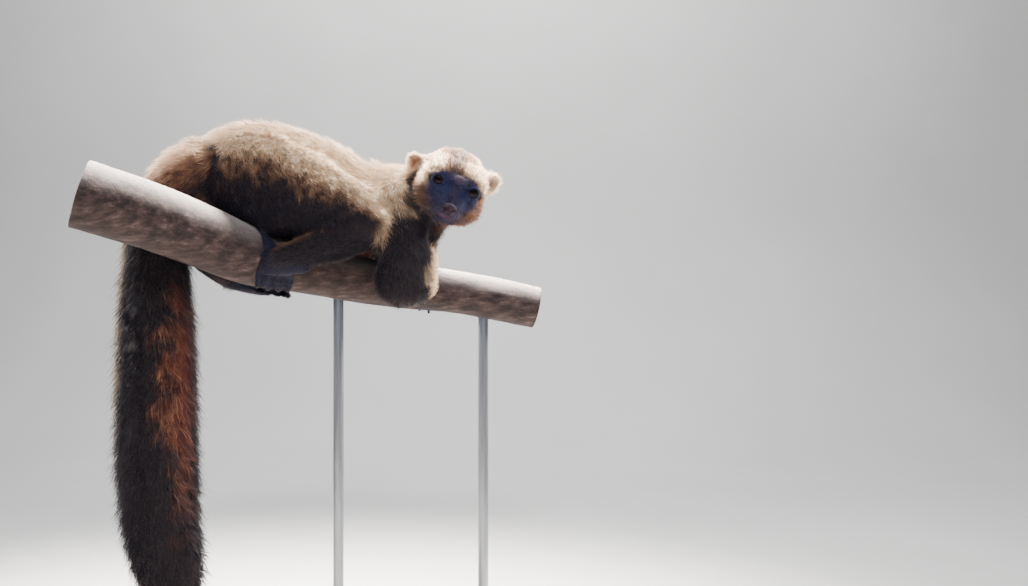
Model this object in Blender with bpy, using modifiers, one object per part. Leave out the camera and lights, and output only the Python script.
"""A golden bamboo lemur, life size, crouched along a cut length of bough on a plain display stand.

Metres, +Z up. The origin is on the underside of the base, at its centre. The lemur's body points
along +X and its head is turned to look along -Y, so its right side is the -Y side.
The body solids reach out to the tips of the coat.
"""

import math

import bmesh
import bpy
import numpy as np
from mathutils import Matrix, Vector

# ---------------------------------------------------------------- driving sizes, in metres
GAP = 0.0004  # kept between solids that touch
SHORTEST_EDGE = 0.0003  # shorter ones are closed up after a cut

BASE_LENGTH, BASE_WIDTH, BASE_THICK = 0.430, 0.240, 0.020
BASE_CORNER, BASE_EDGE = 0.030, 0.004
ROD_RADIUS = 0.005
ROD_PLACES = {"stand_rod_rear": (0.034, -0.005), "stand_rod_front": (0.170, 0.022)}
ROD_IN_BASE, ROD_IN_BOUGH = 0.012, 0.016

EYE_RADIUS = 0.0068
EYE_SPREAD = 0.0158  # from the middle of the face to the middle of each eye
EYE_SET_BACK = 0.0010
EYE_LINE = Vector((0.1474, -0.0500, 0.4568))  # between the eyes
HEAD_ROLL, HEAD_TURN, HEAD_NOD = math.radians(20.5), math.radians(15), math.radians(15)

# Each station of a bough, tail or limb: x, y, z, half its width across, half its height.
BOUGH = (
    (-0.170, -0.100, 0.4445, 0.0302, 0.0302),
    (-0.158, -0.095, 0.4406, 0.0300, 0.0300),
    (-0.116, -0.070, 0.4260, 0.0295, 0.0295),
    (-0.080, -0.050, 0.4107, 0.0285, 0.0285),
    (-0.041, -0.030, 0.3937, 0.0270, 0.0270),
    (0.009, -0.012, 0.3825, 0.0240, 0.0240),
    (0.072, 0.004, 0.3695, 0.0218, 0.0218),
    (0.143, 0.018, 0.3610, 0.0206, 0.0206),
    (0.190, 0.025, 0.3525, 0.0206, 0.0206),
    (0.222, 0.029, 0.3455, 0.0203, 0.0203),
)
TORSO = (
    (-0.084, 0.004, 0.468, 0.030, 0.040),
    (-0.062, 0.003, 0.474, 0.041, 0.052),
    (-0.024, 0.002, 0.466, 0.046, 0.056),
    (0.015, 0.003, 0.452, 0.046, 0.055),
    (0.045, 0.005, 0.440, 0.044, 0.050),
    (0.075, 0.006, 0.436, 0.042, 0.049),
    (0.097, 0.006, 0.434, 0.037, 0.045),
    (0.107, 0.004, 0.431, 0.030, 0.036),
)
NECK = (
    (0.086, 0.003, 0.447, 0.034, 0.036),
    (0.106, -0.003, 0.447, 0.035, 0.035),
    (0.128, -0.014, 0.453, 0.032, 0.033),
    (0.146, -0.028, 0.460, 0.029, 0.029),
)
TAIL = (
    (-0.070, 0.004, 0.476, 0.034, 0.036),
    (-0.096, 0.005, 0.476, 0.034, 0.036),
    (-0.117, 0.005, 0.462, 0.034, 0.035),
    (-0.132, 0.005, 0.436, 0.034, 0.034),
    (-0.1400, 0.003, 0.400, 0.0345, 0.0345),
    (-0.1405, 0.001, 0.365, 0.0360, 0.0360),
    (-0.1395, 0.000, 0.325, 0.0390, 0.0390),
    (-0.138, -0.004, 0.228, 0.0412, 0.0412),
    (-0.135, -0.006, 0.163, 0.0395, 0.0395),
    (-0.130, -0.006, 0.122, 0.0375, 0.0375),
    (-0.123, -0.006, 0.090, 0.0325, 0.0325),
    (-0.118, -0.006, 0.070, 0.0260, 0.0260),
)
TAIL_PARTS = {"tail_root": (0.0, 0.37), "tail_middle": (0.37, 0.64), "tail_tip": (0.64, 1.0)}


# ---------------------------------------------------------------- scene helpers
def clear_scene():
    for obj in list(bpy.data.objects):
        bpy.data.objects.remove(obj)


def collection(name, hidden=False):
    made = bpy.data.collections.new(name)
    bpy.context.scene.collection.children.link(made)
    made.hide_render = hidden
    return made


def material(name, rgb, roughness, metallic=0.0):
    made = bpy.data.materials.new(name)
    made.use_nodes = True
    shader = made.node_tree.nodes["Principled BSDF"]
    shader.inputs["Base Color"].default_value = (*rgb, 1.0)
    shader.inputs["Roughness"].default_value = roughness
    shader.inputs["Metallic"].default_value = metallic
    return made


def object_from(bm, name, where):
    """A named object in the collection, from a bmesh whose faces are turned outwards."""
    bmesh.ops.recalc_face_normals(bm, faces=bm.faces)
    mesh = bpy.data.meshes.new(name)
    bm.to_mesh(mesh)
    bm.free()
    obj = bpy.data.objects.new(name, mesh)
    where.objects.link(obj)
    return obj


def settle(obj):
    """Replaces the object's mesh by what its modifiers make of it."""
    bpy.context.view_layer.update()
    graph = bpy.context.evaluated_depsgraph_get()
    made = bpy.data.meshes.new_from_object(obj.evaluated_get(graph))
    obj.modifiers.clear()
    obj.data = made
    return obj


# ---------------------------------------------------------------- shapes
def smooth_path(stations, steps):
    """Rows between the stations on a smooth curve through all of them (Catmull-Rom)."""
    rows = np.array(stations, float)
    ends = np.vstack([2 * rows[0] - rows[1], rows, 2 * rows[-1] - rows[-2]])
    made = []
    for i in range(1, len(ends) - 2):
        a, b, c, d = ends[i - 1 : i + 3]
        for t in np.arange(steps) / steps:
            made.append(
                0.5 * (2 * b + (c - a) * t + (2 * a - 5 * b + 4 * c - d) * t * t
                       + (3 * b - a - 3 * c + d) * t**3)
            )
    return np.vstack([made, rows[-1]])


def tube(name, stations, where, sides=14, steps=2, across=(0, 1, 0), round_ends=(True, True)):
    """A closed loft of oval rings through the stations. Rounded ends bulge past the last station."""
    rows = smooth_path(stations, steps)
    centres = rows[:, :3]
    along = np.gradient(centres, axis=0)
    along /= np.linalg.norm(along, axis=1)[:, None]
    rings = [(centres[i], along[i], rows[i, 3], rows[i, 4]) for i in range(len(rows))]
    for end, sign in ((0, -1), (-1, 1)):
        if not round_ends[end]:
            continue
        centre, way, wide, high = rings[end]
        reach = (wide + high) / 2
        cap = [
            (centre + sign * way * reach * math.sin(a), way, wide * math.cos(a), high * math.cos(a))
            for a in np.radians((30, 58, 79))
        ]
        rings = cap[::-1] + rings if end == 0 else rings + cap
    bm = bmesh.new()
    loops = []
    for centre, way, wide, high in rings:
        side = np.array(across, float) - np.dot(across, way) * way
        side /= np.linalg.norm(side)
        up = np.cross(way, side)
        loops.append([
            bm.verts.new(centre + side * wide * math.cos(a) + up * high * math.sin(a))
            for a in np.arange(sides) * 2 * math.pi / sides
        ])
    for first, second in zip(loops, loops[1:]):
        for i in range(sides):
            j = (i + 1) % sides
            bm.faces.new((first[i], first[j], second[j], second[i]))
    bm.faces.new(loops[0][::-1])
    bm.faces.new(loops[-1])
    return object_from(bm, name, where)


def ellipsoid(name, centre, radii, where, turn=None, segments=20, rings=12):
    bm = bmesh.new()
    bmesh.ops.create_uvsphere(bm, u_segments=segments, v_segments=rings, radius=1.0)
    matrix = Matrix.Translation(centre) @ (turn or Matrix()).to_4x4() @ Matrix.Diagonal((*radii, 1))
    bmesh.ops.transform(bm, matrix=matrix, verts=bm.verts)
    return object_from(bm, name, where)


def fuse(name, pieces, where, voxel, smoothing, triangles):
    """One closed body from overlapping pieces: remeshed as a whole, smoothed, and thinned out."""
    bm = bmesh.new()
    for piece in pieces:
        bm.from_mesh(piece.data)
        bpy.data.objects.remove(piece)
    obj = object_from(bm, name, where)
    remesh = obj.modifiers.new("remesh", "REMESH")
    remesh.mode, remesh.voxel_size = "VOXEL", voxel
    smooth = obj.modifiers.new("smooth", "SMOOTH")
    smooth.factor, smooth.iterations = 0.5, smoothing
    settle(obj)
    thin = obj.modifiers.new("thin", "DECIMATE")
    obj.data.calc_loop_triangles()
    thin.ratio = triangles / len(obj.data.loop_triangles)
    return settle(obj)


def swollen(obj, by, where):
    """A hidden cutter: a copy of the object pushed out along its normals."""
    bm = bmesh.new()
    bm.from_mesh(obj.data)
    bmesh.ops.triangulate(bm, faces=bm.faces)
    bm.normal_update()
    moves = [vert.normal * (by * min(vert.calc_shell_factor(), 1.6)) for vert in bm.verts]
    for vert, move in zip(bm.verts, moves):
        vert.co += move
    cutter = object_from(bm, obj.name + "_cutter", where)
    cutter.hide_render, cutter.display_type = True, "WIRE"
    return cutter


def keep_largest(obj):
    """Drops the crumbs that a cut leaves beside the main body, and closes up its shortest edges."""
    for shortest in (SHORTEST_EDGE, SHORTEST_EDGE / 3, 1e-6):
        bm = bmesh.new()
        bm.from_mesh(obj.data)
        bmesh.ops.triangulate(bm, faces=bm.faces)
        bmesh.ops.remove_doubles(bm, verts=bm.verts, dist=shortest)
        if all(edge.is_manifold for edge in bm.edges) and all(vert.is_manifold for vert in bm.verts):
            break
    left, bodies = set(bm.verts), []
    while left:
        body, edge = set(), {left.pop()}
        while edge:
            vert = edge.pop()
            body.add(vert)
            edge |= {e.other_vert(vert) for e in vert.link_edges} - body
        left -= body
        bodies.append(body)
    largest = max(bodies, key=len)
    bmesh.ops.delete(bm, geom=[v for v in bm.verts if v not in largest], context="VERTS")
    bm.to_mesh(obj.data)
    bm.free()


def boxes_meet(first, second):
    near = 2 * GAP
    corners = [np.array([v.co for v in obj.data.vertices]) for obj in (first, second)]
    return bool(
        (corners[0].min(0) < corners[1].max(0) + near).all()
        and (corners[1].min(0) < corners[0].max(0) + near).all()
    )


def fit(obj, cutters):
    """Cuts the object back from every part fitted before it, which leaves the small gap between them.

    It is cut by the whole first shapes of those parts, and leaves its own for later ones.
    """
    own = swollen(obj, GAP, cutters)
    earlier = [cutter for cutter in cutters.objects if cutter != own and boxes_meet(cutter, obj)]
    for cutter in sorted(earlier, key=lambda each: each["order"]):
        cut = obj.modifiers.new("cut", "BOOLEAN")
        cut.operation, cut.solver, cut.object = "DIFFERENCE", "EXACT", cutter
        cut.use_self = True
        settle(obj)
    own["order"] = len(cutters.objects)
    if earlier:
        keep_largest(obj)
    return obj


# ---------------------------------------------------------------- stand and bough
def make_base(where):
    bm = bmesh.new()
    bmesh.ops.create_cube(bm, size=1.0)
    bmesh.ops.scale(bm, vec=(BASE_LENGTH, BASE_WIDTH, BASE_THICK), verts=bm.verts)
    bmesh.ops.translate(bm, vec=(0, 0, BASE_THICK / 2), verts=bm.verts)
    uprights = [e for e in bm.edges if abs(e.verts[0].co.z - e.verts[1].co.z) > BASE_THICK / 2]
    bmesh.ops.bevel(bm, geom=uprights, offset=BASE_CORNER, segments=4, profile=0.5, affect="EDGES")
    rim = [e for e in bm.edges if all(v.co.z > BASE_THICK - 1e-5 for v in e.verts)]
    bmesh.ops.bevel(bm, geom=rim, offset=BASE_EDGE, segments=2, profile=0.5, affect="EDGES")
    return object_from(bm, "stand_base", where)


def bough_height(x):
    rows = smooth_path(BOUGH, 6)
    return float(np.interp(x, rows[:, 0], rows[:, 2] - rows[:, 4]))


def make_rods(where):
    """Plain steel rods, from a blind hole in the base to a blind hole in the bough."""
    rods = []
    for name, (x, y) in ROD_PLACES.items():
        low = BASE_THICK - ROD_IN_BASE
        high = bough_height(x) + ROD_IN_BOUGH
        bm = bmesh.new()
        bmesh.ops.create_cone(
            bm, cap_ends=True, segments=16, radius1=ROD_RADIUS, radius2=ROD_RADIUS, depth=high - low
        )
        bmesh.ops.translate(bm, vec=(x, y, (low + high) / 2), verts=bm.verts)
        rods.append(object_from(bm, name, where))
    return rods


def make_bough(where):
    """A smooth limb sawn off square at both ends, thicker at the rump end, with two old knots."""
    bough = tube("perch_bough", BOUGH, where, sides=16, steps=1, round_ends=(False, False))
    knots = (Vector((-0.128, -0.104, 0.440)), 0.020, 0.0022), (Vector((0.180, 0.002, 0.350)), 0.016, 0.002)
    for vert in bough.data.vertices:
        for place, spread, height in knots:
            swell = height * math.exp(-((vert.co - place).length / spread) ** 2)
            vert.co += vert.normal * swell
    return bough


# ---------------------------------------------------------------- head
def head_matrix():
    turn = (
        Matrix.Rotation(HEAD_ROLL, 3, "Y")
        @ Matrix.Rotation(HEAD_TURN, 3, "Z")
        @ Matrix.Rotation(HEAD_NOD, 3, "X")
    )
    return Matrix.Translation(EYE_LINE) @ turn.to_4x4()


def place_in_head(obj):
    obj.data.transform(head_matrix())
    return obj


def make_head(where):
    """Built facing -Y with the origin between the eyes, then turned to its place."""
    pieces = [
        ellipsoid("skull", (0, 0.0250, -0.0005), (0.0335, 0.0325, 0.0305), where),
        ellipsoid("forehead", (0, 0.0120, 0.0070), (0.0270, 0.0170, 0.0180), where),
        ellipsoid("throat", (0, 0.0140, -0.0235), (0.0250, 0.0240, 0.0180), where),
        ellipsoid("chin", (0, -0.0035, -0.0265), (0.0130, 0.0130, 0.0088), where),
        tube("muzzle", (
            (0, 0.0100, -0.0115, 0.0240, 0.0195),
            (0, 0.0000, -0.0145, 0.0190, 0.0165),
            (0, -0.0060, -0.0173, 0.0160, 0.0142),
            (0, -0.0090, -0.0188, 0.0140, 0.0125),
        ), where, across=(1, 0, 0)),
    ]
    for side in (-1, 1):
        pieces += [
            ellipsoid("cheek", (side * 0.0187, 0.0150, -0.0165), (0.0165, 0.0200, 0.0195), where),
            ellipsoid("brow", (side * 0.0145, 0.0050, 0.0080), (0.0125, 0.0085, 0.0064), where),
            ellipsoid("eye_rim", (side * EYE_SPREAD, 0.0050, 0.0), (0.0112, 0.0085, 0.0100), where),
        ]
    return place_in_head(fuse("head", pieces, where, 0.0016, 7, 606))


def make_eyes(where):
    return [
        place_in_head(ellipsoid(
            f"eye_{name}", (side * EYE_SPREAD, EYE_SET_BACK, 0), (EYE_RADIUS,) * 3, where,
            segments=12, rings=8,
        ))
        for name, side in (("left", 1), ("right", -1))
    ]


def make_nose(where):
    return place_in_head(ellipsoid(
        "nose", (0, -0.0202, -0.0178), (0.0056, 0.0036, 0.0042), where, segments=10, rings=6
    ))


def make_ears(where, cutters):
    """Short round cups that face forwards and outwards, set low behind the cheeks."""
    ears = []
    for name, side, across, height in (("left", 1, 0.0350, 0.0070), ("right", -1, 0.0372, 0.0020)):
        lean = Matrix.Rotation(side * math.radians(38), 3, "Z") @ Matrix.Rotation(
            side * math.radians(16), 3, "Y"
        )
        middle = Vector((side * across, 0.0290, height))
        ear = ellipsoid(f"ear_{name}", middle, (0.0112, 0.0062, 0.0130), where, lean, 12, 7)
        hollow = ellipsoid(
            "hollow", middle + lean @ Vector((0, -0.0070, 0.0005)), (0.0086, 0.0085, 0.0102),
            cutters, lean, 10, 6,
        )
        hollow.hide_render = True
        cut = ear.modifiers.new("hollow", "BOOLEAN")
        cut.operation, cut.object, cut.solver = "DIFFERENCE", hollow, "EXACT"
        settle(ear)
        bpy.data.objects.remove(hollow)
        ears.append(place_in_head(ear))
    return ears


# ---------------------------------------------------------------- trunk, neck and tail
def make_trunk(where):
    pieces = [
        tube("torso", TORSO, where, sides=20),
        ellipsoid("shoulder_right", (0.092, -0.024, 0.446), (0.027, 0.018, 0.032), where),
        ellipsoid("shoulder_left", (0.092, 0.034, 0.446), (0.027, 0.018, 0.032), where),
        ellipsoid("rump", (-0.072, 0.004, 0.470), (0.026, 0.036, 0.042), where),
    ]
    return fuse("trunk", pieces, where, 0.0035, 5, 388)


def make_tail(where):
    """The tail arches off the rump and hangs free behind the bough, in three lengths."""
    rows = smooth_path(TAIL, 2)
    parts = []
    for name, (start, end) in TAIL_PARTS.items():
        first, last = round(start * (len(rows) - 1)), round(end * (len(rows) - 1))
        stretch = rows[max(first - 1, 0) : last + 1]
        parts.append(tube(name, stretch, where, sides=14, steps=1, round_ends=(start == 0, end == 1)))
    return parts


# ---------------------------------------------------------------- limbs
THIGH_RIGHT = (
    (-0.055, -0.022, 0.470, 0.024, 0.043),
    (-0.028, -0.033, 0.465, 0.027, 0.045),
    (0.006, -0.040, 0.452, 0.028, 0.041),
    (0.040, -0.047, 0.438, 0.025, 0.034),
    (0.064, -0.052, 0.429, 0.021, 0.027),
    (0.074, -0.053, 0.424, 0.0155, 0.018),
)
SHANK_RIGHT = (
    (0.066, -0.052, 0.4110, 0.0160, 0.0165),
    (0.040, -0.054, 0.4045, 0.0175, 0.0185),
    (0.014, -0.057, 0.3975, 0.0155, 0.0165),
    (-0.004, -0.060, 0.3930, 0.0115, 0.0130),
)
THIGH_LEFT = (
    (-0.055, 0.030, 0.470, 0.024, 0.043),
    (-0.030, 0.042, 0.465, 0.027, 0.044),
    (-0.002, 0.052, 0.456, 0.026, 0.038),
    (0.026, 0.062, 0.446, 0.021, 0.029),
    (0.044, 0.067, 0.438, 0.015, 0.018),
)
SHANK_LEFT = (
    (0.036, 0.066, 0.430, 0.0140, 0.0140),
    (0.004, 0.056, 0.4120, 0.0165, 0.0165),
    (-0.034, 0.034, 0.3905, 0.0160, 0.0160),
    (-0.068, 0.000, 0.3750, 0.0145, 0.0145),
)
UPPER_ARM_RIGHT = (
    (0.090, -0.030, 0.446, 0.021, 0.026),
    (0.1000, -0.036, 0.420, 0.022, 0.024),
    (0.1005, -0.036, 0.394, 0.0235, 0.026),
    (0.0985, -0.034, 0.3715, 0.0225, 0.0295),
)
FOREARM_RIGHT = (
    (0.1120, -0.032, 0.3660, 0.0165, 0.0190),
    (0.1170, -0.020, 0.3880, 0.0125, 0.0145),
    (0.1160, 0.004, 0.4015, 0.0105, 0.0110),
    (0.1140, 0.026, 0.3990, 0.0085, 0.0085),
)
UPPER_ARM_LEFT = (
    (0.088, 0.040, 0.446, 0.020, 0.026),
    (0.083, 0.050, 0.424, 0.018, 0.022),
    (0.076, 0.060, 0.402, 0.0165, 0.018),
    (0.072, 0.066, 0.388, 0.0145, 0.015),
)
FOREARM_LEFT = (
    (0.080, 0.066, 0.380, 0.0135, 0.0135),
    (0.100, 0.063, 0.3735, 0.0120, 0.0120),
    (0.120, 0.058, 0.3690, 0.0095, 0.0095),
    (0.130, 0.053, 0.3670, 0.0080, 0.0080),
)


def bough_at(x):
    """The bough's middle and radius where it crosses the plane at x."""
    rows = smooth_path(BOUGH, 6)
    return (
        Vector((x, np.interp(x, rows[:, 0], rows[:, 1]), np.interp(x, rows[:, 0], rows[:, 2]))),
        float(np.interp(x, rows[:, 0], rows[:, 3])),
    )


def around_bough(x, degrees, off):
    """A point beside the bough: 0 degrees is its top, 90 its far side, 180 its underside."""
    middle, radius = bough_at(x)
    a = math.radians(degrees)
    return middle + Vector((0, math.sin(a), math.cos(a))) * (radius + off)


def digit(name, start, x_start, x_end, from_deg, to_deg, thick, where):
    """A finger or toe from the palm's edge, curled round the bough and tapering to its tip."""
    stations = [(*start, thick * 1.1, thick)]
    for i in range(4):
        t = i / 3
        point = around_bough(x_start + (x_end - x_start) * t, from_deg + (to_deg - from_deg) * t, thick * 0.92)
        stations.append((*point, thick * (1.0 - 0.18 * t), thick * (1.0 - 0.22 * t)))
    return tube(name, stations, where, sides=8, steps=2, across=(1, 0, 0))


def make_foot_right(where):
    """Laid across the near side of the bough: heel to the front, great toe over the top."""
    pieces = [tube("sole", (
        (0.011, -0.0575, 0.3860, 0.0095, 0.0100),
        (0.000, -0.0560, 0.3880, 0.0105, 0.0125),
        (-0.012, -0.0540, 0.3885, 0.0085, 0.0145),
        (-0.020, -0.0525, 0.3885, 0.0070, 0.0130),
    ), where)]
    for i in range(4):
        x = 0.002 - 0.0085 * i
        start = Vector((-0.006 - 0.005 * i, -0.0535, 0.380))
        pieces.append(digit("toe", start, x - 0.004, x - 0.009, -108, -150 + 4 * abs(i - 1.5), 0.0045, where))
    pieces.append(digit("great_toe", (-0.014, -0.0535, 0.397), -0.022, -0.036, -60, 6, 0.0058, where))
    return fuse("foot_right", pieces, where, 0.0013, 3, 250)


def make_foot_left(where):
    """Lies along the far underside of the bough, toes curled up round its near side."""
    pieces = [tube("sole", (
        (*around_bough(-0.088, 132, 0.0105), 0.0095, 0.0100),
        (*around_bough(-0.070, 138, 0.0110), 0.0110, 0.0110),
        (*around_bough(-0.052, 142, 0.0095), 0.0110, 0.0095),
        (*around_bough(-0.038, 147, 0.0075), 0.0105, 0.0075),
    ), where)]
    for i in range(4):
        x = -0.042 + 0.0085 * i
        start = around_bough(-0.042 + 0.004 * i, 152, 0.006)
        pieces.append(digit("toe", start, x + 0.002, x + 0.006, 158, 184 - 4 * abs(i - 1.5), 0.0045, where))
    pieces.append(digit("great_toe", around_bough(-0.050, 116, 0.007), -0.040, -0.032, 96, 34, 0.0056, where))
    return fuse("foot_left", pieces, where, 0.0013, 3, 250)


def make_hand_right(where):
    """Reaches over the top of the bough, under the chest, with its fingers down the far side."""
    pieces = [tube("palm", (
        (*around_bough(0.114, 40, 0.0110), 0.0090, 0.0085),
        (*around_bough(0.113, 58, 0.0080), 0.0115, 0.0070),
        (*around_bough(0.112, 74, 0.0065), 0.0115, 0.0060),
    ), where, across=(1, 0, 0))]
    for i in range(4):
        x = 0.1010 + 0.0075 * i
        start = around_bough(0.1045 + 0.005 * i, 78, 0.0050)
        pieces.append(digit("finger", start, x, x + 0.0015 * (i - 1.5), 94, 150 - 6 * abs(i - 1.5), 0.0040, where))
    pieces.append(digit("thumb", around_bough(0.121, 52, 0.007), 0.128, 0.134, 50, 84, 0.0042, where))
    return fuse("hand_right", pieces, where, 0.0012, 3, 250)


def make_hand_left(where):
    """Holds the far side of the bough in front of the chest, thumb above and fingers below."""
    pieces = [tube("palm", (
        (*around_bough(0.130, 90, 0.0130), 0.0080, 0.0080),
        (*around_bough(0.141, 94, 0.0085), 0.0070, 0.0100),
        (*around_bough(0.149, 96, 0.0064), 0.0058, 0.0100),
    ), where)]
    for i in range(4):
        angle = 128 - 15 * i
        start = around_bough(0.1490, 116 - 12 * i, 0.0050)
        pieces.append(digit("finger", start, 0.1540, 0.1730 - 0.0025 * abs(i - 1.5), angle, angle + 3, 0.0038, where))
    pieces.append(digit("thumb", around_bough(0.140, 76, 0.0060), 0.143, 0.150, 62, 44, 0.0040, where))
    return fuse("hand_left", pieces, where, 0.0012, 3, 250)


# ---------------------------------------------------------------- the model
def main():
    clear_scene()
    model = collection("golden_bamboo_lemur")
    cutters = collection("cutters", hidden=True)
    steel = material("satin_steel", (0.45, 0.45, 0.46), 0.35, 1.0)
    board = material("dark_board", (0.05, 0.035, 0.025), 0.5)
    wood = material("bare_bough", (0.30, 0.23, 0.18), 0.8)
    fur = material("golden_brown_coat", (0.42, 0.25, 0.13), 0.9)
    tail_fur = material("rufous_tail_coat", (0.26, 0.11, 0.06), 0.9)
    bare_skin = material("dark_bare_skin", (0.04, 0.035, 0.04), 0.55)
    eye = material("brown_eye", (0.10, 0.04, 0.015), 0.08)

    # Each part gives way to those before it in this list.
    parts = [
        *((rod, steel) for rod in make_rods(model)),
        (make_base(model), board),
        (make_bough(model), wood),
        *((each, eye) for each in make_eyes(model)),
        (make_nose(model), bare_skin),
        (make_head(model), fur),
        *((ear, fur) for ear in make_ears(model, cutters)),
        (make_foot_left(model), bare_skin),
        (make_foot_right(model), bare_skin),
        (make_hand_left(model), bare_skin),
        (make_hand_right(model), bare_skin),
        (tube("forearm_left", FOREARM_LEFT, model, sides=10, steps=1), fur),
        (tube("forearm_right", FOREARM_RIGHT, model, sides=12, steps=1), fur),
        (tube("neck", NECK, model, sides=12, steps=1), fur),
        (make_trunk(model), fur),
        *((length, tail_fur) for length in make_tail(model)),
        (tube("upper_arm_left", UPPER_ARM_LEFT, model, sides=12, steps=1), fur),
        (tube("upper_arm_right", UPPER_ARM_RIGHT, model, sides=14, steps=1), fur),
        (tube("shank_left", SHANK_LEFT, model, sides=12, steps=1), fur),
        (tube("shank_right", SHANK_RIGHT, model, sides=12, steps=1), fur),
        (tube("thigh_left", THIGH_LEFT, model, sides=14, steps=1), fur),
        (tube("thigh_right", THIGH_RIGHT, model, sides=14, steps=1), fur),
    ]
    for obj, finish in parts:
        fit(obj, cutters)
        obj.data.materials.clear()
        obj.data.materials.append(finish)
        obj.data.shade_smooth()
        obj.data.set_sharp_from_angle(angle=math.radians(50))


main()
